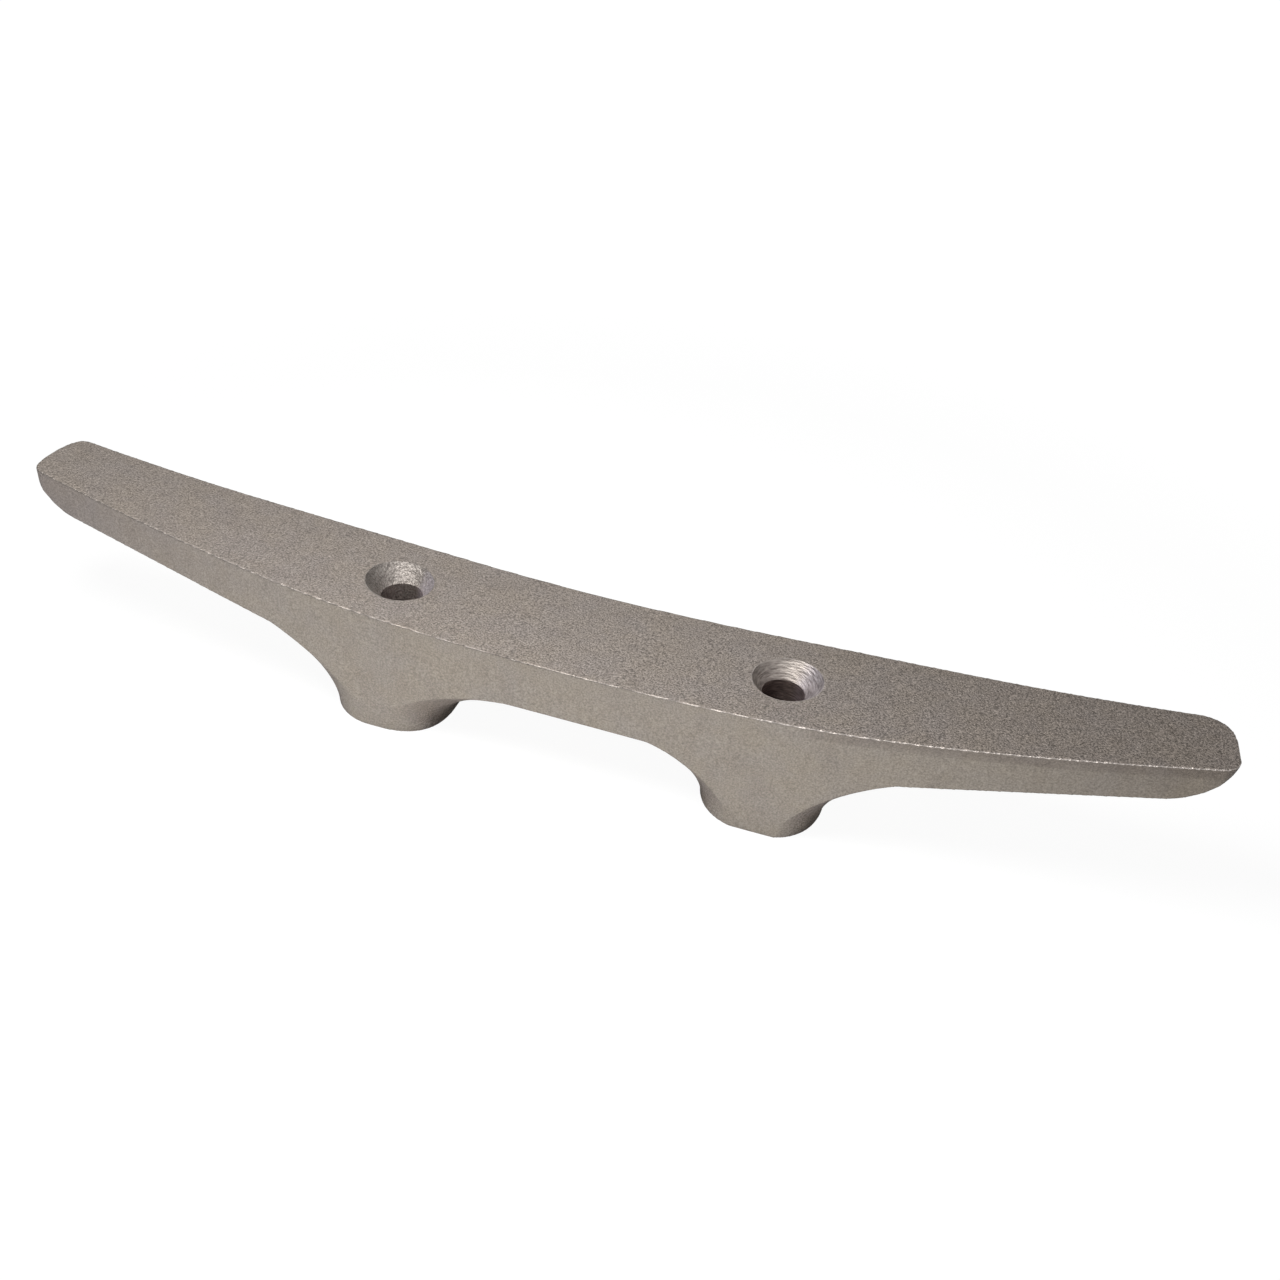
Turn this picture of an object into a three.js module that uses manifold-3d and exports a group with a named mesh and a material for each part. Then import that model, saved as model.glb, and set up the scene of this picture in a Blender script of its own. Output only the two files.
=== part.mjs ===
// Horn cleat: one sand-cast aluminium piece, a bowed bar with two horns that stands on two drilled legs.
// Millimetres. +X runs along the bar, +Z is up, and the origin lies on the deck, midway between the two feet.
import * as THREE from 'three';
import { mergeVertices } from 'three/addons/utils/BufferGeometryUtils.js';
import Module from 'manifold-3d';

// Bar, seen from the side
const overallLength = 254;
const middleHeight = 28.9;
const barThickness = 12.2;
const topRadius = 650;
const hornRootHeight = 15.8;
const hornAngle = THREE.MathUtils.degToRad(11.8);
const bowRadius = 12.5;

// Bar, seen from above
const barWidth = 29.6;
const straightSideLength = 66;
const sideTurnShare = 0.2316;
const tipWidth = 15.6;
const tipEndRadius = 25;
const tipCornerRadius = 3.5;
const draftAngle = THREE.MathUtils.degToRad(1.1);

// Legs and their feet
const legSpacing = 85.3;
const footLength = 26.9;
const archSideRoundness = 2.6;
const hornSideRoundness = 2.45;
const sideBlendShare = 0.5;

// Countersunk bores for the two deck fasteners
const boreRadius = 4.5;
const countersinkRadius = 7.25;
const countersinkDepth = 3.6;

// How far a cutting or clipping solid runs past what it cuts
const overrun = 5;

// How finely curves are divided
const topSteps = 36;
const sideSteps = 6;
const endSteps = 6;
const cornerSteps = 4;
const bowSteps = 9;
const bowPasses = 12;
const flareSteps = 11;
const hornFlareSteps = 4;
const footSteps = 44;
const boreSteps = 40;

const metal = new THREE.MeshStandardMaterial({ color: 0x978e85, roughness: 0.6, metalness: 0.8 });

const wasm = await Module();
wasm.setup();

function solid(geometry) {
  const bare = geometry.clone();
  bare.deleteAttribute('normal');
  bare.deleteAttribute('uv');
  const merged = mergeVertices(bare);
  const vertProperties = new Float32Array(merged.attributes.position.array);
  const triVerts = new Uint32Array(merged.index.array);
  return new wasm.Manifold(new wasm.Mesh({ numProp: 3, vertProperties, triVerts }));
}

function geometryOf(body) {
  const mesh = body.getMesh();
  const geometry = new THREE.BufferGeometry();
  geometry.setAttribute('position', new THREE.BufferAttribute(new Float32Array(mesh.vertProperties), 3));
  geometry.setIndex(new THREE.BufferAttribute(new Uint32Array(mesh.triVerts), 1));
  const faceted = geometry.toNonIndexed();
  faceted.computeVertexNormals();
  return faceted;
}

function arcPoints(centreX, centreY, radius, from, to, steps) {
  const points = [];
  for (let i = 0; i <= steps; i += 1) {
    const angle = from + ((to - from) * i) / steps;
    points.push(new THREE.Vector2(centreX + radius * Math.cos(angle), centreY + radius * Math.sin(angle)));
  }
  return points;
}

// Heights of the bar's two faces at a place along it
function topHeight(x) {
  return middleHeight + topRadius - Math.sqrt(topRadius ** 2 - x ** 2);
}

function hornHeight(x) {
  return hornRootHeight + Math.tan(hornAngle) * (x - legSpacing / 2);
}

const halfLength = overallLength / 2;
const archHeight = middleHeight - barThickness;
const highest = topHeight(halfLength);

// The bow under a tip runs on from the horn's straight underside.
// It ends at the top face, or upright below it.
function bowOutline() {
  let bowX = halfLength - bowRadius;
  let bowZ = highest;
  let endAngle = 0;
  for (let i = 0; i < bowPasses; i += 1) {
    bowZ = hornHeight(bowX) + bowRadius / Math.cos(hornAngle);
    endAngle = Math.asin(THREE.MathUtils.clamp((highest - bowZ) / bowRadius, -1, 0));
    bowX = halfLength - bowRadius * Math.cos(endAngle);
  }
  const bow = arcPoints(bowX, bowZ, bowRadius, hornAngle - Math.PI / 2, endAngle, bowSteps);
  return endAngle < 0 ? bow.slice(0, -1) : bow;
}

// Side view: hollow top face, flat arch, straight horns, and a bow under each tip
function sideOutline() {
  const legX = legSpacing / 2;
  const underLeg = [new THREE.Vector2(legX, archHeight), new THREE.Vector2(legX, hornRootHeight)];
  const right = [...underLeg, ...bowOutline()];
  const left = right.map((point) => new THREE.Vector2(-point.x, point.y)).reverse();
  const top = [];
  for (let i = 0; i <= topSteps; i += 1) {
    const x = halfLength - (overallLength * i) / topSteps;
    top.push(new THREE.Vector2(x, topHeight(x)));
  }
  return [...right, ...top, ...left];
}

// Plan view, one quarter: straight side, long curve, straight taper, rounded corner, slightly rounded end
function planQuarter() {
  // The curve rounds off the turn from the straight side into the taper, as far on either side of it
  const curveX = straightSideLength / 2;
  const turnX = THREE.MathUtils.lerp(curveX, halfLength, sideTurnShare);
  const taper = Math.atan2((barWidth - tipWidth) / 2, halfLength - turnX);
  const sideRadius = (turnX - curveX) / Math.tan(taper / 2);
  const curveY = barWidth / 2 - sideRadius;
  const taperStart = Math.PI / 2 - taper;
  const side = arcPoints(curveX, curveY, sideRadius, Math.PI / 2, taperStart, sideSteps);
  // The corner's centre lies inside the taper and inside the end, by the corner's radius from each
  const endX = halfLength - tipEndRadius;
  const inner = sideRadius - tipCornerRadius;
  const along = curveX + inner * Math.cos(taperStart) - endX;
  const across = curveY + inner * Math.sin(taperStart);
  const stepX = Math.sin(taperStart);
  const stepY = -Math.cos(taperStart);
  const half = along * stepX + across * stepY;
  const far = (tipEndRadius - tipCornerRadius) ** 2 - along ** 2 - across ** 2;
  const run = -half + Math.sqrt(half ** 2 + far);
  const cornerX = endX + along + run * stepX;
  const cornerY = across + run * stepY;
  const endAngle = Math.atan2(cornerY, cornerX - endX);
  const corner = arcPoints(cornerX, cornerY, tipCornerRadius, taperStart, endAngle, cornerSteps);
  const end = arcPoints(endX, 0, tipEndRadius, endAngle, 0, endSteps);
  return [...side, ...corner, ...end.slice(1)];
}

function planOutline() {
  const quarter = planQuarter();
  const half = [...quarter, ...quarter.slice(0, -1).reverse().map((p) => new THREE.Vector2(p.x, -p.y))];
  const other = half.map((p) => new THREE.Vector2(-p.x, -p.y));
  return [...half, ...other].reverse();
}

// Each wall leans in towards the deck by the draft that lets the casting leave its mould
function leanAt(z) {
  return 1 + (Math.tan(draftAngle) * (z - middleHeight)) / (barWidth / 2);
}

function planEnvelope() {
  const depth = highest + 2 * overrun;
  const geometry = new THREE.ExtrudeGeometry(new THREE.Shape(planOutline()), { depth, bevelEnabled: false });
  geometry.translate(0, 0, -overrun);
  const place = geometry.attributes.position;
  for (let i = 0; i < place.count; i += 1) {
    place.setY(i, place.getY(i) * leanAt(place.getZ(i)));
  }
  return solid(geometry);
}

function barBody() {
  const depth = barWidth + 2 * overrun;
  const geometry = new THREE.ExtrudeGeometry(new THREE.Shape(sideOutline()), { depth, bevelEnabled: false });
  geometry.rotateX(Math.PI / 2);
  geometry.translate(0, depth / 2, 0);
  return solid(geometry);
}

// A leg flares out of its oval foot in a round fillet.
// On one side the fillet meets the flat arch, on the other the sloping horn.
const footHalfLength = footLength / 2;
const footHalfWidth = (barWidth / 2) * leanAt(0);
const archFlareRadius = archHeight;
const hornFlareRadius =
  (Math.cos(hornAngle) * (hornRootHeight + Math.tan(hornAngle) * footHalfLength)) / (1 - Math.sin(hornAngle));

function flare(radius, z) {
  return radius - Math.sqrt(Math.max(radius ** 2 - z ** 2, 0));
}

function legRing(z) {
  const ring = [];
  for (let i = 0; i < footSteps; i += 1) {
    const angle = (2 * Math.PI * i) / footSteps;
    const hornShare = THREE.MathUtils.smoothstep(Math.cos(angle), -sideBlendShare, sideBlendShare);
    const grown = THREE.MathUtils.lerp(flare(archFlareRadius, z), flare(hornFlareRadius, z), hornShare);
    const roundness = Math.cos(angle) > 0 ? hornSideRoundness : archSideRoundness;
    const x = Math.sign(Math.cos(angle)) * Math.abs(Math.cos(angle)) ** (2 / roundness);
    const y = Math.sign(Math.sin(angle)) * Math.abs(Math.sin(angle)) ** (2 / roundness);
    ring.push(new THREE.Vector3(x * (footHalfLength + grown), y * (footHalfWidth + grown), z));
  }
  return ring;
}

function legHeights() {
  const heights = [];
  for (let i = 0; i <= flareSteps; i += 1) {
    heights.push(archFlareRadius * Math.sin((Math.PI * i) / (2 * flareSteps)));
  }
  const from = Math.asin(Math.min(archFlareRadius / hornFlareRadius, 1));
  const to = Math.PI / 2 - hornAngle;
  for (let i = 1; i <= hornFlareSteps; i += 1) {
    heights.push(hornFlareRadius * Math.sin(from + ((to - from) * i) / hornFlareSteps));
  }
  return heights;
}

function legBody() {
  const rings = legHeights().map(legRing);
  const positions = rings.flat().flatMap((point) => [point.x, point.y, point.z]);
  const lowest = rings.length * footSteps;
  const uppermost = lowest + 1;
  positions.push(0, 0, rings[0][0].z);
  positions.push(0, 0, rings[rings.length - 1][0].z);
  const faces = [];
  for (let j = 0; j < footSteps; j += 1) {
    const next = (j + 1) % footSteps;
    faces.push(lowest, next, j);
    for (let i = 0; i + 1 < rings.length; i += 1) {
      const low = i * footSteps;
      const high = low + footSteps;
      faces.push(low + j, low + next, high + next);
      faces.push(low + j, high + next, high + j);
    }
    const last = (rings.length - 1) * footSteps;
    faces.push(uppermost, last + j, last + next);
  }
  const geometry = new THREE.BufferGeometry();
  geometry.setAttribute('position', new THREE.Float32BufferAttribute(positions, 3));
  geometry.setIndex(faces);
  geometry.translate(legSpacing / 2, 0, 0);
  return solid(geometry);
}

// Cutter for one bore: straight through the leg, then opening out to the countersink at the top face
function boreCutter() {
  const mouth = topHeight(legSpacing / 2);
  const widening = (countersinkRadius - boreRadius) / countersinkDepth;
  const profile = [
    new THREE.Vector2(0, -overrun),
    new THREE.Vector2(boreRadius, -overrun),
    new THREE.Vector2(boreRadius, mouth - countersinkDepth),
    new THREE.Vector2(countersinkRadius + widening * overrun, mouth + overrun),
    new THREE.Vector2(0, mouth + overrun),
  ];
  const geometry = new THREE.LatheGeometry(profile, boreSteps);
  geometry.rotateX(Math.PI / 2);
  geometry.translate(legSpacing / 2, 0, 0);
  return solid(geometry);
}

function bothEnds(body) {
  return body.add(body.rotate([0, 0, 180]));
}

const uncut = barBody().add(bothEnds(legBody())).intersect(planEnvelope());
const casting = uncut.subtract(bothEnds(boreCutter()));

const hornCasting = new THREE.Mesh(geometryOf(casting), metal);
hornCasting.name = 'horn_casting';

const cleat = new THREE.Group();
cleat.add(hornCasting);

export default cleat;
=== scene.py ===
import math

import bmesh
import bpy
import numpy as np
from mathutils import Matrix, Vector


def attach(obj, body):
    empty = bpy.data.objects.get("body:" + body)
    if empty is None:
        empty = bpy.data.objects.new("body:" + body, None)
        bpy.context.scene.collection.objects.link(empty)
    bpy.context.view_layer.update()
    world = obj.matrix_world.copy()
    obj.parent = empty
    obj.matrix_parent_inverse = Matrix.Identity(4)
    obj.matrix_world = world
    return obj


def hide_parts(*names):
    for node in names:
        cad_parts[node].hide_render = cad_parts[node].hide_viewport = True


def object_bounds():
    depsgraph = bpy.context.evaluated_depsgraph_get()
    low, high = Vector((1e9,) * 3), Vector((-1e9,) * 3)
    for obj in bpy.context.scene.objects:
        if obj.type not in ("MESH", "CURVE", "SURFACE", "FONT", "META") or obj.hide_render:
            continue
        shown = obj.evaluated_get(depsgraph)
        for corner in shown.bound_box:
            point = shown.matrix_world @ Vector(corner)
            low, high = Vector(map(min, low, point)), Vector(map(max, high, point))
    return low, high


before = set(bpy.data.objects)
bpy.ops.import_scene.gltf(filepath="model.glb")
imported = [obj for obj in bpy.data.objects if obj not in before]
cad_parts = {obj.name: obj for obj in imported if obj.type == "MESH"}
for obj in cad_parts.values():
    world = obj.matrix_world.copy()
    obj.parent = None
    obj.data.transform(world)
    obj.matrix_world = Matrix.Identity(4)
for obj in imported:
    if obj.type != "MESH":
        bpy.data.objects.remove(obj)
cadLow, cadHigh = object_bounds()
halfLength = (cadHigh.x - cadLow.x) / 2
print("frame loaded, the casting's box is", [round(v, 5) for v in cadHigh - cadLow], "m")

# The casting's own sizes, in metres. Hand dressing has left its two ends a little different.
# Where a size has two values, -1 is the left end or front face, and 1 is the other.
casting = {
    "middleHeight": 0.0289,
    "barThickness": 0.0122,
    "topRadius": 0.650,
    "topCutterSides": 4096,
    "hornRootHeight": {-1: 0.01565, 1: 0.0153},
    "hornAngle": {-1: math.radians(11.8), 1: math.radians(12.1)},
    "bowRadius": {-1: 0.01225, 1: 0.0145},
    "bowSteps": 24, "bowPasses": 12,
    "barWidth": 0.0296,
    "straightSideLength": 0.066,
    "sideTurnShare": 0.2316,
    "tipWidth": 0.0156,
    "tipEndRadius": {-1: 0.025, 1: 0.030},
    "tipEndMiddle": {-1: -0.0009, 1: -0.0022},
    "tipCornerRadius": {(-1, -1): 0.0027, (-1, 1): 0.0030, (1, -1): 0.0034, (1, 1): 0.0067},
    "arcSteps": 16,
    "draftAngle": math.radians(1.1),
    "overrun": 0.005,
}

# Each foot is an oval. It flares towards the arch and the horn, and widens until the flat faces cut it off.
leg = {
    "spacing": 0.0853,
    "middle": {-1: 0.04409, 1: 0.04295},
    "hornSideLength": {-1: 0.01264, 1: 0.0129},
    "archSideLength": {-1: 0.0147, 1: 0.01395},
    "hornSideRoundness": {-1: 2.14, 1: 2.36},
    "archSideRoundness": {-1: 2.73, 1: 2.46},
    "halfWidth": {-1: 0.01399, 1: 0.01464},
    "hornFlareReach": {-1: 0.02341, 1: 0.01859},
    "hornFlareBend": {-1: 1.77, 1: 1.82},
    "archFlareReach": {-1: 0.0320, 1: 0.01767},
    "archFlareBend": {-1: 1.82, 1: 1.65},
    "widening": {-1: 0.01155, 1: 0.01768},
    "wideningBend": {-1: 1.98, 1: 2.01},
    "cornerSteps": 20,
    "flareSteps": 18, "upperSteps": 10, "halvings": 40,
}

# The two drilled and countersunk holes
bore = {
    "radius": 0.0045,
    "countersinkRadius": 0.00725,
    "countersinkDepth": 0.0036,
    "sides": 128,
    "ripples": 11,
    "rippleDepth": 0.00003,
    "tornSize": 0.0012,
    "tornDepth": 0.00022,
}

# How fine the cast skin is, and how uneven the sand has left it. The flat sides are ground smoother.
skin = {
    "voxel": 0.00025,
    "smoothing": 0.5, "roundingPasses": 2,
    # the feet's walls are smoothed further, between these heights
    "softPasses": 8, "softAbove": 0.0015, "softBelow": 0.0155, "softFacing": 0.9,
    # how squarely a face points up, down or aside to count as an edge, a sole or a ground side
    "edgeFacing": (0.15, 0.92), "edgeBand": 0.001,
    "soleFacing": 0.9, "soleHeight": 0.001,
    "groundFrom": 0.9,
    "mostTriangles": 170000,
    "midLevel": 0.7,
}

# The skin's layers in turn: how far apart, how high and how detailed, and on which part of the casting
skinLayers = {
    "waves": {"size": 0.018, "height": 0.00010, "detail": 2, "group": "free"},
    "lumps": {"size": 0.0032, "height": 0.00004, "detail": 2, "group": "cast"},
    "grain": {"size": 0.0008, "height": 0.00004, "detail": 2, "group": "cast"},
    "nicks": {"size": 0.0012, "height": 0.00005, "detail": 3, "group": "topEdge"},
}

# Distances that count as none, in metres
close = {"merge": 1e-6, "drawing": 1e-5, "middle": 1e-7}


# Working in edit mode: what is active, what is selected, and drawing an outline point by point

def makeActive(piece):
    if bpy.context.object and bpy.context.object.mode != "OBJECT":
        bpy.ops.object.mode_set(mode="OBJECT")
    bpy.ops.object.select_all(action="DESELECT")
    piece.select_set(True)
    bpy.context.view_layer.objects.active = piece


def startPiece(name):
    # an empty mesh in edit mode, ready for its first primitive
    if bpy.context.object and bpy.context.object.mode != "OBJECT":
        bpy.ops.object.mode_set(mode="OBJECT")
    bpy.ops.object.select_all(action="DESELECT")
    bpy.ops.mesh.primitive_plane_add(size=casting["overrun"])
    piece = bpy.context.object
    piece.name = name
    piece.data.name = name
    bpy.ops.object.mode_set(mode="EDIT")
    bpy.ops.mesh.delete(type="VERT")
    return piece


def selectWhere(piece, test):
    bpy.ops.mesh.select_mode(type="VERT")
    bpy.ops.mesh.select_all(action="DESELECT")
    mesh = bmesh.from_edit_mesh(piece.data)
    for vert in mesh.verts:
        vert.select = test(vert.co)
    mesh.select_flush(True)
    bmesh.update_edit_mesh(piece.data)


def newPoint(place):
    bpy.ops.mesh.select_all(action="DESELECT")
    bpy.ops.mesh.primitive_plane_add(size=casting["overrun"], location=place)
    bpy.ops.mesh.merge(type="CENTER")


def lineOn(x, y, z=0):
    bpy.ops.mesh.extrude_vertices_move(TRANSFORM_OT_translate={"value": (x, y, z)})


def arcOn(x, y, turn, steps=casting["arcSteps"]):
    # clockwise from above where the turn is positive
    bpy.ops.mesh.spin(steps=steps, angle=turn, center=(x, y, 0), axis=(0, 0, 1))


def applyModifier(piece, name, kind, **settings):
    makeActive(piece)
    modifier = piece.modifiers.new(name, kind)
    for setting, value in settings.items():
        setattr(modifier, setting, value)
    bpy.ops.object.modifier_apply(modifier=name)


def combine(piece, other, operation, **settings):
    applyModifier(piece, operation.lower(), "BOOLEAN", object=other, operation=operation, **settings)
    bpy.data.objects.remove(other)


# Heights and widths that several pieces share

def topHeight(x):
    return casting["middleHeight"] + casting["topRadius"] - math.sqrt(casting["topRadius"] ** 2 - x ** 2)


def leanAt(z):
    # the walls lean in towards the deck by the draft, as a share of their width
    lean = math.tan(casting["draftAngle"])
    return 1 + lean * (z - casting["middleHeight"]) / (casting["barWidth"] / 2)


def undersideHeight(end, x):
    # a horn's straight underside, at a distance from the casting's middle
    return casting["hornRootHeight"][end] + math.tan(casting["hornAngle"][end]) * (x - leg["spacing"] / 2)


def flare(share, bend):
    # how far a flare has come out, as a share of its reach, at a share of its height: a bend of 2 is an oval
    return 1 - (1 - min(max(share, 0), 1) ** bend) ** (1 / bend)


# Plan of the bar: straight sides, a long curve into a straight taper, and a rounded tip at each end

def drawPlanQuarter(end, face):
    halfWidth = casting["barWidth"] / 2
    curveX = casting["straightSideLength"] / 2
    turnX = curveX + casting["sideTurnShare"] * (halfLength - curveX)
    taper = math.atan2(halfWidth - casting["tipWidth"] / 2, halfLength - turnX)
    sideRadius = (turnX - curveX) / math.tan(taper / 2)
    curveY = halfWidth - sideRadius
    endRadius = casting["tipEndRadius"][end]
    endX = halfLength - endRadius
    endY = face * casting["tipEndMiddle"][end]
    cornerRadius = casting["tipCornerRadius"][end, face]
    # the corner's centre lies its own radius inside the taper and inside the round end
    along = curveX + (sideRadius - cornerRadius) * math.sin(taper) - endX
    across = curveY + (sideRadius - cornerRadius) * math.cos(taper) - endY
    half = along * math.cos(taper) - across * math.sin(taper)
    far = (endRadius - cornerRadius) ** 2 - along ** 2 - across ** 2
    run = math.sqrt(half ** 2 + far) - half
    cornerX = endX + along + run * math.cos(taper)
    cornerY = endY + across - run * math.sin(taper)
    endTurn = math.atan2(cornerY - endY, cornerX - endX)
    way = end * face
    newPoint((0, face * halfWidth, 0))
    lineOn(end * curveX, 0)
    arcOn(end * curveX, face * curveY, way * taper)
    lineOn(end * run * math.cos(taper), -face * run * math.sin(taper))
    arcOn(end * cornerX, face * cornerY, way * (math.pi / 2 - taper - endTurn))
    arcOn(end * endX, face * endY, way * endTurn)


def makeEnvelope():
    # the space inside the casting's side walls and round tips
    envelope = startPiece("envelope")
    for end in (-1, 1):
        for face in (-1, 1):
            drawPlanQuarter(end, face)
    low = -casting["overrun"]
    high = cadHigh.z + casting["overrun"]
    bpy.ops.mesh.select_all(action="SELECT")
    bpy.ops.mesh.remove_doubles(threshold=close["merge"])
    bpy.ops.mesh.edge_face_add()
    bpy.ops.transform.translate(value=(0, 0, low))
    bpy.ops.transform.resize(value=(1, leanAt(low), 1), center_override=(0, 0, 0))
    bpy.ops.mesh.extrude_region_move(TRANSFORM_OT_translate={"value": (0, 0, high - low)})
    bpy.ops.transform.resize(value=(1, leanAt(high) / leanAt(low), 1), center_override=(0, 0, 0))
    bpy.ops.mesh.select_all(action="SELECT")
    bpy.ops.mesh.normals_make_consistent(inside=False)
    bpy.ops.object.mode_set(mode="OBJECT")
    return envelope


# The bar: a billet cut along the horns' undersides, bowed under its tips, hollowed along its top

def bowFor(end):
    # where a tip's bow is centred: it meets the top face at the tip, a little short of upright
    radius = casting["bowRadius"][end]
    bowX = halfLength - radius
    for _ in range(casting["bowPasses"]):
        bowZ = undersideHeight(end, bowX) + radius / math.cos(casting["hornAngle"][end])
        missing = min(max((bowZ - topHeight(halfLength)) / radius, 0), 1)
        bowX = halfLength - radius * math.sqrt(1 - missing ** 2)
    return bowX, bowZ


def makeBar():
    archHeight = casting["middleHeight"] - casting["barThickness"]
    bows = {end: bowFor(end) for end in (-1, 1)}
    ends = {end: bows[end][0] + casting["bowRadius"][end] for end in (-1, 1)}
    billetTop = max(bows[end][1] for end in (-1, 1)) + casting["overrun"]
    bar = startPiece("castBar")
    bpy.ops.mesh.primitive_cube_add(
        size=1,
        location=((ends[1] - ends[-1]) / 2, 0, (archHeight + billetTop) / 2),
        scale=(ends[1] + ends[-1], casting["barWidth"] + 2 * casting["overrun"], billetTop - archHeight),
    )
    for end in (-1, 1):
        angle = casting["hornAngle"][end]
        bpy.ops.mesh.select_all(action="SELECT")
        bpy.ops.mesh.bisect(
            plane_co=(end * leg["spacing"] / 2, 0, casting["hornRootHeight"][end]),
            plane_no=(end * math.sin(angle), 0, -math.cos(angle)),
            use_fill=True, clear_outer=True, threshold=close["merge"],
        )
    for end in (-1, 1):
        selectWhere(bar, lambda p: p.x * end > ends[end] - close["drawing"] and p.z < bows[end][1])
        turn = math.pi / 2 - casting["hornAngle"][end]
        bpy.ops.mesh.bevel(
            offset_type="OFFSET", offset=casting["bowRadius"][end] * math.tan(turn / 2),
            segments=casting["bowSteps"], profile=0.5, affect="EDGES", clamp_overlap=False,
        )
    bpy.ops.object.mode_set(mode="OBJECT")
    bpy.ops.object.select_all(action="DESELECT")
    bpy.ops.mesh.primitive_cylinder_add(
        vertices=casting["topCutterSides"], radius=casting["topRadius"],
        depth=2 * (casting["barWidth"] + casting["overrun"]),
        location=(0, 0, casting["middleHeight"] + casting["topRadius"]), rotation=(math.pi / 2, 0, 0),
    )
    combine(bar, bpy.context.object, "DIFFERENCE", solver="MANIFOLD")
    return bar


# A leg: an oval foot drawn up ring by ring, flaring into the arch on one side and the horn on the other

def hornFlareAt(end, z):
    # the flare runs into the horn's sloping underside without a break
    low, high = 0, 1
    for _ in range(leg["halvings"]):
        share = (low + high) / 2
        grown = leg["hornFlareReach"][end] * flare(share, leg["hornFlareBend"][end])
        reached = share * undersideHeight(end, leg["middle"][end] + leg["hornSideLength"][end] + grown)
        low, high = (share, high) if reached < z else (low, share)
    return grown


def makeLeg(end):
    archHeight = casting["middleHeight"] - casting["barThickness"]
    furthest = leg["middle"][end] + leg["hornSideLength"][end] + leg["hornFlareReach"][end]
    touching = undersideHeight(end, furthest)

    def halfLengthAt(side, z):
        if side > 0:
            return leg["hornSideLength"][end] + hornFlareAt(end, z)
        grown = leg["archFlareReach"][end] * flare(z / archHeight, leg["archFlareBend"][end])
        return leg["archSideLength"][end] + grown

    def halfWidthAt(z):
        grown = leg["widening"][end] * flare(z / touching, leg["wideningBend"][end])
        return leg["halfWidth"][end] + grown

    piece = startPiece("castLeg")
    bpy.ops.mesh.primitive_plane_add(size=1)
    for side, roundness in ((1, leg["hornSideRoundness"][end]), (-1, leg["archSideRoundness"][end])):
        selectWhere(piece, lambda p: p.x * side > 0.5 - close["drawing"])
        bpy.ops.mesh.bevel(
            offset=0.5, segments=leg["cornerSteps"], profile=2 ** (-2 / roundness), affect="VERTICES",
        )
    bpy.ops.mesh.select_all(action="SELECT")
    bpy.ops.mesh.remove_doubles(threshold=close["drawing"])
    bpy.ops.transform.resize(value=(1, 2 * halfWidthAt(0), 1), center_override=(0, 0, 0))
    for side in (-1, 1):
        selectWhere(piece, lambda p: p.x * side > close["middle"])
        bpy.ops.transform.resize(value=(2 * halfLengthAt(side, 0), 1, 1), center_override=(0, 0, 0))
    bpy.ops.mesh.select_all(action="SELECT")
    lower = [math.sin(math.pi / 2 * i / leg["flareSteps"]) for i in range(leg["flareSteps"] + 1)]
    upper = [math.sin(math.pi / 2 * (i + 1) / leg["upperSteps"]) for i in range(leg["upperSteps"])]
    heights = [archHeight * share for share in lower]
    heights += [archHeight + (touching - archHeight) * share for share in upper]
    for low, high in zip(heights, heights[1:]):
        bpy.ops.mesh.extrude_region_move(TRANSFORM_OT_translate={"value": (0, 0, high - low)})
        across = halfWidthAt(high) / halfWidthAt(low)
        bpy.ops.transform.resize(value=(1, across, 1), center_override=(0, 0, 0))
        for side in (-1, 1):
            selectWhere(piece, lambda p: p.z > high - close["merge"] and p.x * side > close["middle"])
            along = halfLengthAt(side, high) / halfLengthAt(side, low)
            bpy.ops.transform.resize(value=(along, 1, 1), center_override=(0, 0, 0))
        selectWhere(piece, lambda p: p.z > high - close["merge"])
    bpy.ops.mesh.select_all(action="SELECT")
    bpy.ops.transform.resize(value=(end, 1, 1), center_override=(0, 0, 0))
    bpy.ops.transform.translate(value=(end * leg["middle"][end], 0, 0))
    bpy.ops.mesh.normals_make_consistent(inside=False)
    bpy.ops.object.mode_set(mode="OBJECT")
    return piece


body = makeBar()
for end in (-1, 1):
    combine(body, makeLeg(end), "UNION", solver="MANIFOLD")
combine(body, makeEnvelope(), "INTERSECT", solver="MANIFOLD")
body.name = "castBody"
print("casting shaped:", len(body.data.polygons), "faces", [round(v, 5) for v in body.dimensions])


# The cast skin: an even fine mesh, its edges dressed round, then the sand's waves, lumps, grain and nicks

def addCloud(name, size, depth=2):
    cloud = bpy.data.textures.new(name, "CLOUDS")
    cloud.noise_scale = size
    cloud.noise_depth = depth
    cloud.noise_basis = "ORIGINAL_PERLIN"
    return cloud


def placesAndNormals(piece):
    count = len(piece.data.vertices)
    place = np.zeros(count * 3, np.float32)
    normal = np.zeros(count * 3, np.float32)
    piece.data.vertices.foreach_get("co", place)
    piece.data.vertices.foreach_get("normal", normal)
    return place.reshape(-1, 3), normal.reshape(-1, 3)


def bowedFrom(height, place):
    # the height over each point of a face bowed like the top, from its height at the middle
    return height + place[:, 0] ** 2 / (2 * casting["topRadius"])


def nearTop(place):
    # true for points on the top face or just below its edge
    return place[:, 2] > bowedFrom(casting["middleHeight"] - skin["edgeBand"], place)


def ramp(values, low, high):
    # from 0 at low to 1 at high, and no further
    return np.clip((values - low) / (high - low), 0, 1)


# Grinding has sunk the front of the right horn a little, below a band that it left under the top edge

sunkSide = {"from": 0.046, "fully": 0.060, "band": 0.0027, "depth": 0.00035, "fadesBehind": 0.005}


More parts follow.
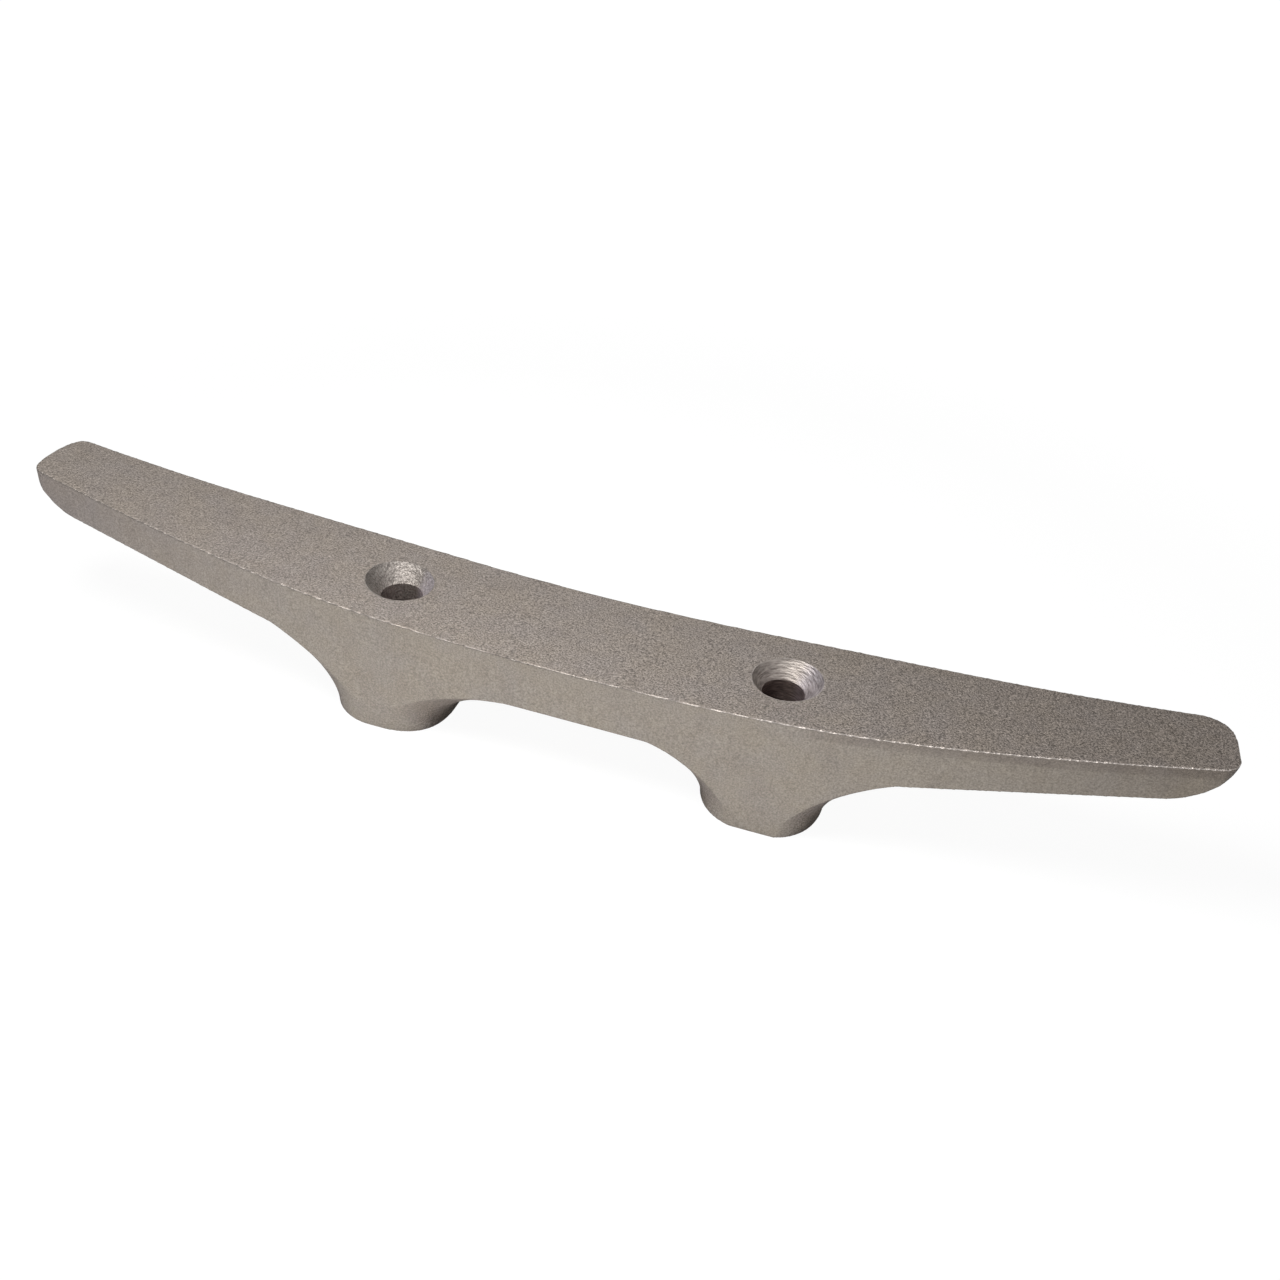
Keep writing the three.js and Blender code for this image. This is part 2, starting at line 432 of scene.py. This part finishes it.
def sinkRightFront(piece):
    place = placesAndNormals(piece)[0]
    top = bowedFrom(casting["middleHeight"], place)
    along = ramp(place[:, 0], sunkSide["from"], sunkSide["fully"])
    below = ramp(top - place[:, 2], 0, sunkSide["band"])
    front = ramp(-place[:, 1], 0, sunkSide["fadesBehind"])
    place[:, 1] += sunkSide["depth"] * along * below * front
    piece.data.vertices.foreach_set("co", place.ravel())
    piece.data.update()


def giveSkin(piece):
    makeActive(piece)
    bpy.ops.object.duplicate()
    drawn = bpy.context.object
    applyModifier(piece, "evenMesh", "REMESH", mode="VOXEL", voxel_size=skin["voxel"], adaptivity=0)
    applyModifier(piece, "fitting", "SHRINKWRAP", target=drawn, wrap_method="NEAREST_SURFACEPOINT")
    bpy.data.objects.remove(drawn)
    applyModifier(piece, "dressing", "SMOOTH", factor=skin["smoothing"], iterations=skin["roundingPasses"])
    sinkRightFront(piece)
    place, normal = placesAndNormals(piece)
    height = place[:, 2]
    facingUp = normal[:, 2]
    standing = (facingUp < -skin["soleFacing"]) & (height < skin["soleHeight"])
    leastUp, mostUp = skin["edgeFacing"]
    onFeet = (height < skin["softBelow"]) & (height > skin["softAbove"])
    groups = {
        "free": ~standing,
        "cast": (np.abs(normal[:, 1]) < skin["groundFrom"]) & ~standing,
        "topEdge": nearTop(place) & (facingUp > leastUp) & (facingUp < mostUp),
        "feet": onFeet & (np.abs(facingUp) < skin["softFacing"]),
    }
    for name, found in groups.items():
        piece.vertex_groups.new(name=name).add(np.flatnonzero(found).tolist(), 1.0, "REPLACE")
    print("skin:", len(place), "points,", {name: int(found.sum()) for name, found in groups.items()})
    applyModifier(
        piece, "softer", "SMOOTH", factor=skin["smoothing"], iterations=skin["softPasses"],
        vertex_group="feet",
    )
    for name, layer in skinLayers.items():
        applyModifier(
            piece, name, "DISPLACE", texture=addCloud(name, layer["size"], layer["detail"]),
            texture_coords="LOCAL", strength=layer["height"], mid_level=skin["midLevel"],
            vertex_group=layer["group"],
        )
    triangles = 2 * len(piece.data.polygons)
    applyModifier(piece, "thinning", "DECIMATE", ratio=min(skin["mostTriangles"] / triangles, 1))
    print("skin thinned from", triangles, "triangles to", len(piece.data.polygons), "faces")


def bringToSize(piece, low, high):
    # the finished casting is exactly as long, wide and high as its drawing
    makeActive(piece)
    found = [piece.matrix_world @ Vector(corner) for corner in piece.bound_box]
    foundLow = Vector([min(corner[i] for corner in found) for i in range(3)])
    foundHigh = Vector([max(corner[i] for corner in found) for i in range(3)])
    growth = [(high[i] - low[i]) / (foundHigh[i] - foundLow[i]) for i in range(3)]
    print("brought to size by", [round(g, 5) for g in growth])
    bpy.ops.object.mode_set(mode="EDIT")
    bpy.ops.mesh.select_all(action="SELECT")
    bpy.ops.transform.translate(value=[-v for v in foundLow])
    bpy.ops.transform.resize(value=growth, center_override=(0, 0, 0))
    bpy.ops.transform.translate(value=list(low))
    bpy.ops.object.mode_set(mode="OBJECT")


giveSkin(body)
bringToSize(body, cadLow, cadHigh)


# Materials

def putIn(tree, socket, value):
    if isinstance(value, bpy.types.NodeSocket):
        tree.links.new(value, socket)
    else:
        socket.default_value = value


def setNode(tree, node, **values):
    # inputs go by name, with an underscore for a space, and any other name is a setting of the node
    for name, value in values.items():
        socket = node.inputs.get(name.replace("_", " "))
        if socket is None:
            setattr(node, name, value)
        else:
            putIn(tree, socket, value)
    return node


def addNode(tree, kind, **values):
    return setNode(tree, tree.nodes.new(kind), **values)


def addNoise(tree, vector, size, detail=2.0, roughness=0.6):
    noise = addNode(tree, "ShaderNodeTexNoise", Vector=vector, Scale=1 / size)
    return setNode(tree, noise, Detail=detail, Roughness=roughness).outputs["Fac"]


def addRange(tree, value, low, high, toLow=0.0, toHigh=1.0):
    node = addNode(tree, "ShaderNodeMapRange", Value=value, From_Min=low, From_Max=high)
    return setNode(tree, node, To_Min=toLow, To_Max=toHigh).outputs["Result"]


def mixColours(tree, factor, a, b, way="MIX"):
    node = addNode(tree, "ShaderNodeMix", data_type="RGBA", blend_type=way)
    for index, value in ((0, factor), (6, a), (7, b)):
        putIn(tree, node.inputs[index], value)
    return node.outputs[2]


def mixValues(tree, factor, a, b):
    node = addNode(tree, "ShaderNodeMix")
    for index, value in ((0, factor), (2, a), (3, b)):
        putIn(tree, node.inputs[index], value)
    return node.outputs[0]


def joinMath(tree, operation, a, b):
    node = addNode(tree, "ShaderNodeMath", operation=operation)
    for index, value in ((0, a), (1, b)):
        putIn(tree, node.inputs[index], value)
    return node.outputs[0]


def multiply(tree, a, b):
    return joinMath(tree, "MULTIPLY", a, b)


def tinted(tree, colour, tint):
    return mixColours(tree, 1.0, colour, tint, "MULTIPLY")


def tintWhere(tree, share, colour, tint):
    # the colour is tinted as far as the share says
    return mixColours(tree, share, colour, tinted(tree, colour, tint))


def readMark(tree, name):
    # a mark that markFinish leaves on the points
    return addNode(tree, "ShaderNodeAttribute", attribute_name=name).outputs["Fac"]


def stretched(tree, place, scale):
    return addNode(tree, "ShaderNodeMapping", Vector=place, Scale=scale).outputs["Vector"]


def facingRight(tree):
    normal = addNode(tree, "ShaderNodeNewGeometry").outputs["Normal"]
    return addNode(tree, "ShaderNodeSeparateXYZ", Vector=normal).outputs["X"]


def addRamp(tree, value, stops):
    # a grey level that goes from stop to stop
    ramp = addNode(tree, "ShaderNodeValToRGB", Fac=value)
    elements = ramp.color_ramp.elements
    while len(elements) < len(stops):
        elements.new(0.5)
    for element, (position, level) in zip(elements, stops):
        element.position = position
        element.color = (level, level, level, 1)
    return ramp.outputs["Color"]


# Each range gives where a pattern or a place along the casting starts to count and where it counts fully
castLook = {
    # sand-cast skin: a coarse grain, darker in its pits, whose contrast is painted stronger towards the right
    # as painted relief shading
    "castDark": (0.172, 0.151, 0.134, 1), "castLight": (0.51, 0.447, 0.398, 1),
    "grainSize": 0.00038, "pitRange": (-0.2, 0.2), "castRoughness": 0.55,
    "reliefShadeRange": (-0.1, 0.1), "reliefShadeLeft": 0.85, "reliefShadeRight": 1.35,
    # painted glints: bright specks over the grain, more of them where the painted relief shading is stronger
    "glintColour": (0.78, 0.70, 0.64, 1), "glintSize": 0.0003, "glintShare": 0.30, "glintRange": (0.60, 0.72),
    # painted shade: the cast skin darker towards the right
    "castRightShadeTint": (0.93, 0.925, 0.925, 1), "castRightShadeRange": (0.02, 0.1),
    # ground sides: nearly even, with a fine grain and faint upright strokes
    "groundDark": (0.243, 0.2165, 0.188, 1), "groundLight": (0.440, 0.392, 0.341, 1),
    "finishRange": (0.3, 0.7), "groundRoughness": 0.5,
    "strokeWidth": 0.0006, "strokeStretch": 0.10, "strokeShare": 0.14,
    # painted shade on a band under the top edge of the right horn's front, on the horns' sides towards the
    # tips, with a slight tint, and on the end face of the right tip
    "bandShadeTint": (0.79, 0.775, 0.785, 1),
    "tipShadeTint": {-1: (0.99, 0.975, 1.04, 1), 1: (0.97, 0.95, 0.93, 1)}, "tipShadeReach": {-1: 0.065, 1: 0.035},
    "rightEndShadeTint": (0.50, 0.45, 0.47, 1), "rightEndShadeFacing": (0.6, 0.8), "rightEndShadeRange": (0.115, 0.118),
    # slow drifts of tone and upright smudges over all of it, and painted shade on the lower edges that face
    # down
    "warmTint": (1.01, 1.0, 0.975, 1), "coolTint": (0.985, 0.99, 1.01, 1),
    "driftSize": 0.009, "driftRange": (0.35, 0.65),
    "smudgeTint": (0.95, 0.945, 0.945, 1), "smudgeSize": 0.0040, "smudgeStretch": 0.4,
    "smudgeRange": (0.5, 0.68),
    "underShadeTint": (0.85, 0.83, 0.83, 1),
    # edges rubbed bright in broken stretches, which is wear, with a painted highlight that grows brighter
    # towards the right and painted shade that dims the edge around the middle. Levels run from tip to tip.
    "edgeColour": (0.25, 0.226, 0.207, 1), "wornColour": (0.385, 0.352, 0.325, 1),
    "edgeHighlightRight": (0.66, 0.60, 0.56, 1), "wornHighlightRight": (1.0, 0.92, 0.86, 1),
    "highlightRange": (0.01, 0.08), "wornRoughness": 0.48,
    "wornSize": 0.0007, "wornRange": (0.45, 0.58),
    "stretchSize": 0.005, "stretchRange": (0.38, 0.58), "stretchLeast": 0.35,
    "edgeShadeLevels": (
        (0.34, 1.0), (0.378, 0.7), (0.413, 0.5), (0.449, 0.4), (0.47, 0.5), (0.55, 0.6), (0.62, 1.0),
    ),
    "wornLevels": (
        (0.10, 0.0), (0.26, 1.0), (0.40, 0.7), (0.45, 0.35), (0.49, 1.0), (0.53, 0.6),
        (0.60, 1.0), (0.66, 0.6), (0.70, 1.0), (0.92, 0.95), (1.0, 0.5),
    ),
    "metallic": 0.85, "bumpDistance": 0.00015, "groundRelief": 0.6,
}


def castColour(tree, place, along, grain):
    # the grain's contrast grows towards the right: painted relief shading, standing in for light raking
    # across the grain
    reliefShade = addRange(
        tree, along, *castLook["reliefShadeRange"], castLook["reliefShadeLeft"], castLook["reliefShadeRight"],
    )
    pits = multiply(tree, joinMath(tree, "SUBTRACT", grain, 0.5), reliefShade)
    pits = addRange(tree, pits, *castLook["pitRange"])
    colour = mixColours(tree, pits, castLook["castDark"], castLook["castLight"])
    # painted glints scattered over the grain
    glints = addNoise(tree, place, castLook["glintSize"], detail=1.0, roughness=0.5)
    glints = addRange(tree, glints, *castLook["glintRange"])
    glints = multiply(tree, glints, multiply(tree, reliefShade, castLook["glintShare"]))
    colour = mixColours(tree, glints, colour, castLook["glintColour"])
    # painted shade that darkens the cast skin towards the right
    shadedToRight = addRange(tree, along, *castLook["castRightShadeRange"])
    return tintWhere(tree, shadedToRight, colour, castLook["castRightShadeTint"])


def groundColour(tree, along, finish):
    share = addRange(tree, finish, *castLook["finishRange"])
    colour = mixColours(tree, share, castLook["groundDark"], castLook["groundLight"])
    # painted shade on the band under the top edge of the right horn's front
    colour = tintWhere(tree, readMark(tree, "paintedBandShade"), colour, castLook["bandShadeTint"])
    # painted shade: the sides darker, and slightly tinted, towards each tip
    for end in (-1, 1):
        towardsTip = addRange(tree, along, end * (halfLength - castLook["tipShadeReach"][end]), end * halfLength)
        colour = tintWhere(tree, towardsTip, colour, castLook["tipShadeTint"][end])
    return colour


def edgeWearAndHighlight(tree, place, along):
    # the rubbed edge's colour, with its painted highlight and painted shade, and how far each point of it is
    # worn bright
    fromTip = addRange(tree, along, -halfLength, halfLength)
    patches = addRange(tree, addNoise(tree, place, castLook["wornSize"]), *castLook["wornRange"])
    stretches = addNoise(tree, place, castLook["stretchSize"], detail=1.0, roughness=0.5)
    stretches = addRange(tree, stretches, *castLook["stretchRange"], castLook["stretchLeast"], 1.0)
    rubbed = multiply(tree, readMark(tree, "wearAndHighlight"), addRamp(tree, fromTip, castLook["wornLevels"]))
    worn = multiply(tree, rubbed, multiply(tree, patches, stretches))
    # painted highlight: the edge and its worn stretches brighter towards the right
    highlightToRight = addRange(tree, along, *castLook["highlightRange"])
    wornColour = mixColours(tree, highlightToRight, castLook["wornColour"], castLook["wornHighlightRight"])
    colour = mixColours(tree, highlightToRight, castLook["edgeColour"], castLook["edgeHighlightRight"])
    # painted shade: the edge's colour dimmed around the middle
    colour = tinted(tree, colour, addRamp(tree, fromTip, castLook["edgeShadeLevels"]))
    return mixColours(tree, worn, colour, wornColour), worn


def makeCastAluminium():
    material = bpy.data.materials.new("castAluminium")
    material.use_nodes = True
    tree = material.node_tree
    place = addNode(tree, "ShaderNodeTexCoord").outputs["Object"]
    along = addNode(tree, "ShaderNodeSeparateXYZ", Vector=place).outputs["X"]
    ground = readMark(tree, "ground")
    grain = addNoise(tree, place, castLook["grainSize"])
    upright = stretched(tree, place, (1, 1, castLook["strokeStretch"]))
    strokes = addNoise(tree, upright, castLook["strokeWidth"], detail=3.0)
    finish = mixValues(tree, castLook["strokeShare"], grain, strokes)
    castSkin = castColour(tree, place, along, grain)
    colour = mixColours(tree, ground, castSkin, groundColour(tree, along, finish))
    # painted shade on the right tip's end face, which faces away from the lamp
    onTip = addRange(tree, along, *castLook["rightEndShadeRange"])
    shadedRightEnd = multiply(tree, addRange(tree, facingRight(tree), *castLook["rightEndShadeFacing"]), onTip)
    colour = tintWhere(tree, shadedRightEnd, colour, castLook["rightEndShadeTint"])
    drift = addNoise(tree, place, castLook["driftSize"], detail=3.0)
    drift = addRange(tree, drift, *castLook["driftRange"])
    colour = tinted(tree, colour, mixColours(tree, drift, castLook["warmTint"], castLook["coolTint"]))
    streaky = stretched(tree, place, (1, 1, castLook["smudgeStretch"]))
    smudges = addNoise(tree, streaky, castLook["smudgeSize"], roughness=0.5)
    smudges = addRange(tree, smudges, *castLook["smudgeRange"])
    colour = tintWhere(tree, smudges, colour, castLook["smudgeTint"])
    # painted shade on the edges that face down
    colour = tintWhere(tree, readMark(tree, "underShade"), colour, castLook["underShadeTint"])
    wearAndHighlightColour, worn = edgeWearAndHighlight(tree, place, along)
    colour = mixColours(tree, readMark(tree, "wearAndHighlight"), colour, wearAndHighlightColour)
    roughness = mixValues(tree, ground, castLook["castRoughness"], castLook["groundRoughness"])
    roughness = mixValues(tree, worn, roughness, castLook["wornRoughness"])
    relief = mixValues(tree, ground, grain, mixValues(tree, castLook["groundRelief"], 0.5, finish))
    bump = addNode(tree, "ShaderNodeBump", Height=relief, Strength=1.0, Distance=castLook["bumpDistance"])
    setNode(
        tree, tree.nodes["Principled BSDF"], Base_Color=colour, Roughness=roughness,
        Metallic=castLook["metallic"], Normal=bump.outputs["Normal"],
    )
    return material


machinedLook = {
    "dark": (0.235, 0.210, 0.193, 1), "light": (0.50, 0.46, 0.425, 1), "markRange": (0.34, 0.66),
    "coarseSize": 0.00045, "ringSize": 0.00034, "ringStretch": 0.16,
    # painted shade in the left hole and painted light in the right one
    "leftHoleShadeTint": (0.86, 0.855, 0.85, 1), "rightHoleLightTint": (1.06, 1.04, 1.03, 1), "rightRange": (-0.001, 0.001),
    # the walls that face left catch more light
    "leftBloom": (1.54, 1.56, 1.78, 1), "rightBloom": (1.03, 1.05, 1.19, 1), "bloomFacing": (-0.25, -0.6),
    # painted shade in the bores below the countersinks, much darker in the right one
    "leftBoreShade": (0.98, 0.93, 0.92, 1), "rightBoreShade": (0.58, 0.50, 0.49, 1),
    "deepAbove": 0.0002, "deepBelow": 0.0004,
    "roughness": 0.58, "metallic": 0.9, "bumpDistance": 0.00016,
}


def makeMachinedAluminium():
    # the left countersink is torn and coarse, and the right one keeps the cutter's fine rings
    material = bpy.data.materials.new("machinedAluminium")
    material.use_nodes = True
    tree = material.node_tree
    place = addNode(tree, "ShaderNodeTexCoord").outputs["Object"]
    apart = addNode(tree, "ShaderNodeSeparateXYZ", Vector=place).outputs
    onRight = addRange(tree, apart["X"], *machinedLook["rightRange"])
    coarse = addNoise(tree, place, machinedLook["coarseSize"])
    stretch = machinedLook["ringStretch"]
    rings = addNoise(tree, stretched(tree, place, (stretch, stretch, 1)), machinedLook["ringSize"])
    marks = mixValues(tree, onRight, coarse, rings)
    share = addRange(tree, marks, *machinedLook["markRange"])
    colour = mixColours(tree, share, machinedLook["dark"], machinedLook["light"])
    # painted shade darkens the left hole and painted light brightens the right one
    holeLightAndShade = mixColours(tree, onRight, machinedLook["leftHoleShadeTint"], machinedLook["rightHoleLightTint"])
    colour = tinted(tree, colour, holeLightAndShade)
    bloom = mixColours(tree, onRight, machinedLook["leftBloom"], machinedLook["rightBloom"])
    facingLeft = addRange(tree, facingRight(tree), *machinedLook["bloomFacing"])
    colour = tintWhere(tree, facingLeft, colour, bloom)
    # painted shade down the bores, below the countersinks
    mouth = topHeight(leg["spacing"] / 2) - bore["countersinkDepth"]
    deepShade = addRange(tree, apart["Z"], mouth + machinedLook["deepAbove"], mouth - machinedLook["deepBelow"])
    boreShade = mixColours(tree, onRight, machinedLook["leftBoreShade"], machinedLook["rightBoreShade"])
    colour = tintWhere(tree, deepShade, colour, boreShade)
    bump = addNode(
        tree, "ShaderNodeBump", Height=marks, Strength=1.0, Distance=machinedLook["bumpDistance"],
    )
    setNode(
        tree, tree.nodes["Principled BSDF"], Base_Color=colour, Roughness=machinedLook["roughness"],
        Metallic=machinedLook["metallic"], Normal=bump.outputs["Normal"],
    )
    return material


castAluminium = makeCastAluminium()
machinedAluminium = makeMachinedAluminium()


# The holes: each cutter is a profile spun round, with the drill's faint ripples down its countersink

def makeBoreCutter(end):
    centre = end * leg["spacing"] / 2
    mouth = topHeight(centre)
    spread = (bore["countersinkRadius"] - bore["radius"]) / bore["countersinkDepth"]
    rise = bore["countersinkDepth"] / bore["ripples"]
    over = casting["overrun"]
    cutter = startPiece("boreCutter")
    newPoint((0, 0, -over))
    lineOn(bore["radius"], 0)
    lineOn(0, 0, over + mouth - bore["countersinkDepth"])
    for i in range(bore["ripples"]):
        lineOn(spread * rise / 2 + bore["rippleDepth"], 0, rise / 2)
        lineOn(spread * rise / 2 - bore["rippleDepth"], 0, rise / 2)
    lineOn(spread * over, 0, over)
    lineOn(-bore["countersinkRadius"] - spread * over, 0)
    bpy.ops.mesh.select_all(action="SELECT")
    bpy.ops.mesh.spin(steps=bore["sides"], angle=2 * math.pi, center=(0, 0, 0), axis=(0, 0, 1))
    bpy.ops.mesh.select_all(action="SELECT")
    bpy.ops.mesh.remove_doubles(threshold=close["merge"])
    bpy.ops.mesh.normals_make_consistent(inside=False)
    bpy.ops.transform.translate(value=(centre, 0, 0))
    bpy.ops.object.mode_set(mode="OBJECT")
    if end < 0:
        # the left cutter has torn its hole: the rim is ragged and the wall is dimpled
        applyModifier(
            cutter, "torn", "DISPLACE", texture=addCloud("torn", bore["tornSize"]), texture_coords="LOCAL",
            strength=bore["tornDepth"], mid_level=0.5,
        )
    cutter.data.materials.append(machinedAluminium)
    return cutter


body.data.materials.clear()
body.data.materials.append(castAluminium)
for end in (-1, 1):
    combine(body, makeBoreCutter(end), "DIFFERENCE", solver="EXACT", material_mode="TRANSFER")
print("holes cut:", len(body.data.polygons), "faces,", [m.name for m in body.data.materials])


# Finish: which faces are ground flat, where the top edge is rubbed and takes a painted highlight, the band
# of painted shade under the right horn's top edge, and the painted shade on the lower edges. Each range gives
# how squarely a face points aside, up or down.

finishMarks = {
    "groundFacing": (0.72, 0.92),
    "edgeFrom": (0.30, 0.45), "edgeTo": (0.95, 0.89),
    "stripFade": 0.0004,
    "underShadeFacing": (0.12, 0.32), "underShadeAside": (0.2, 0.4),
    "creaseAngle": math.radians(38),
}


def markFinish(piece):
    place, normal = placesAndNormals(piece)
    aside = np.abs(normal[:, 1])
    turned = ramp(normal[:, 2], *finishMarks["edgeFrom"]) * ramp(normal[:, 2], *finishMarks["edgeTo"])
    below = bowedFrom(casting["middleHeight"], place) - place[:, 2]
    # the band under the top edge of the right horn's front, which gets painted shade
    shadedBand = ramp(below, sunkSide["band"], sunkSide["band"] - finishMarks["stripFade"])
    shadedBand = shadedBand * (place[:, 1] < 0) * ramp(place[:, 0], sunkSide["from"], sunkSide["fully"])
    marks = {
        "ground": ramp(aside, *finishMarks["groundFacing"]),
        "wearAndHighlight": turned * nearTop(place),
        "paintedBandShade": shadedBand,
        "underShade": ramp(-normal[:, 2], *finishMarks["underShadeFacing"]) * ramp(aside, *finishMarks["underShadeAside"]),
    }
    for name, values in marks.items():
        attribute = piece.data.attributes.new(name, "FLOAT", "POINT")
        attribute.data.foreach_set("value", values.astype(np.float32))
        print(name, "marked on", int((values > 0.5).sum()), "points")


markFinish(body)
makeActive(body)
bpy.ops.object.shade_smooth_by_angle(angle=finishMarks["creaseAngle"])
body.name = "casting"
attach(body, "root")
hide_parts("horn_casting")


# Stage: a white floor that keeps a faint shadow, a soft lamp above and to the left, and a surround
# whose levels run from left to right, before the casting and behind it. The metal sees the floor's
# own levels, which run the same way, with a painted shadow that dims them straight under the casting.

stage = {
    "floorSize": 12.0, "floorGap": 0.00002,
    "floorColour": (0.9, 0.9, 0.9, 1),
    "ownLight": 1.05, "ownLightToCamera": 0.90, "shadowRange": (0.20, 0.40),
    "ownLightToMetal": 0.35, "floorEdge": 0.15,
    "floorLevels": (
        (0.0, 0.95), (0.15, 1.10), (0.3, 1.0), (0.5, 0.96), (0.66, 1.20), (0.84, 1.15), (1.0, 0.65),
    ),
    "floorShadowRange": (0.012, 0.022), "floorShadowLevel": 0.05,
    "lampPlace": (-0.05, -0.08, 0.24), "lampAim": (0, 0, 0.03), "lampSize": 0.12, "lampPower": 0.80,
    "before": ((0.0, 0.10), (0.5, 0.14), (0.7, 0.35), (0.85, 0.75), (1.0, 0.5)),
    "behind": ((0.0, 0.05), (0.2, 0.14), (0.35, 1.0), (0.5, 0.22), (0.65, 0.05), (1.0, 0.10)),
    "behindRange": (-0.05, 0.05),
    "diffuseSurround": 0.20,
}


def seenByMetal(tree, path):
    return joinMath(tree, "MAXIMUM", path["Is Glossy Ray"], path["Is Transmission Ray"])


def makeFloor():
    bpy.ops.object.select_all(action="DESELECT")
    bpy.ops.mesh.primitive_plane_add(size=stage["floorSize"], location=(0, 0, -stage["floorGap"]))
    floor = bpy.context.object
    floor.name = "floor"
    material = bpy.data.materials.new("floorWhite")
    material.use_nodes = True
    tree = material.node_tree
    tree.nodes.clear()
    path = addNode(tree, "ShaderNodeLightPath").outputs
    place = addNode(tree, "ShaderNodeTexCoord").outputs["Object"]
    apart = addNode(tree, "ShaderNodeSeparateXYZ", Vector=place).outputs
    level = addRange(tree, apart["X"], -stage["floorEdge"], stage["floorEdge"])
    level = addRamp(tree, level, stage["floorLevels"])
    # painted shadow: the floor's own light, as the metal sees it, is dimmed in a strip under the casting
    fromMiddle = joinMath(tree, "ABSOLUTE", apart["Y"], 0)
    level = multiply(tree, level, addRange(tree, fromMiddle, *stage["floorShadowRange"], stage["floorShadowLevel"], 1))
    level = mixValues(tree, path["Is Camera Ray"], level, stage["ownLight"])
    diffuse = addNode(tree, "ShaderNodeBsdfDiffuse", Color=stage["floorColour"])
    white = addNode(tree, "ShaderNodeEmission", Color=(1, 1, 1, 1), Strength=level)
    far = addNode(tree, "ShaderNodeVectorMath", operation="LENGTH", Vector=place).outputs["Value"]
    toCamera = addRange(tree, far, *stage["shadowRange"], stage["ownLightToCamera"], 1.0)
    share = multiply(tree, seenByMetal(tree, path), stage["ownLightToMetal"])
    share = mixValues(tree, path["Is Camera Ray"], share, toCamera)
    mix = addNode(tree, "ShaderNodeMixShader", Fac=share)
    tree.links.new(diffuse.outputs[0], mix.inputs[1])
    tree.links.new(white.outputs[0], mix.inputs[2])
    addNode(tree, "ShaderNodeOutputMaterial", Surface=mix.outputs[0])
    floor.data.materials.append(material)


def makeSurround():
    world = bpy.data.worlds.new("surround")
    bpy.context.scene.world = world
    world.use_nodes = True
    tree = world.node_tree
    tree.nodes.clear()
    direction = addNode(tree, "ShaderNodeTexCoord").outputs["Generated"]
    towards = addNode(tree, "ShaderNodeSeparateXYZ", Vector=direction).outputs
    behind = addRamp(tree, addRange(tree, towards["X"], -1, 1), stage["behind"])
    before = addRamp(tree, addRange(tree, towards["X"], -1, 1), stage["before"])
    around = mixValues(tree, addRange(tree, towards["Y"], *stage["behindRange"]), before, behind)
    path = addNode(tree, "ShaderNodeLightPath").outputs
    seen = mixValues(tree, seenByMetal(tree, path), stage["diffuseSurround"], around)
    seen = mixValues(tree, path["Is Camera Ray"], seen, 1.0)
    background = addNode(tree, "ShaderNodeBackground", Color=(1, 1, 1, 1), Strength=seen)
    addNode(tree, "ShaderNodeOutputWorld", Surface=background.outputs[0])


def makeLamp():
    light = bpy.data.lights.new("lamp", "AREA")
    light.shape = "DISK"
    light.size = stage["lampSize"]
    light.energy = stage["lampPower"]
    lamp = bpy.data.objects.new("lamp", light)
    lamp.location = stage["lampPlace"]
    away = Vector(stage["lampPlace"]) - Vector(stage["lampAim"])
    lamp.rotation_mode = "QUATERNION"
    lamp.rotation_quaternion = away.to_track_quat("Z", "Y")
    lamp.visible_camera = False
    bpy.context.scene.collection.objects.link(lamp)


camera = {
    "place": (0.05785, -0.20110, 0.17981),
    "turn": (math.radians(53.990), math.radians(-5.317), math.radians(16.862)),
    "lens": 34.45, "sensor": 36, "nearest": 0.01, "furthest": 50,
}


def makeCamera():
    data = bpy.data.cameras.new("camera")
    data.lens = camera["lens"]
    data.sensor_width = camera["sensor"]
    data.clip_start = camera["nearest"]
    data.clip_end = camera["furthest"]
    eye = bpy.data.objects.new("camera", data)
    eye.location = camera["place"]
    eye.rotation_euler = camera["turn"]
    bpy.context.scene.collection.objects.link(eye)
    bpy.context.scene.camera = eye


makeFloor()
makeSurround()
makeLamp()
makeCamera()
bpy.context.scene.view_settings.view_transform = "Standard"
print("stage set")
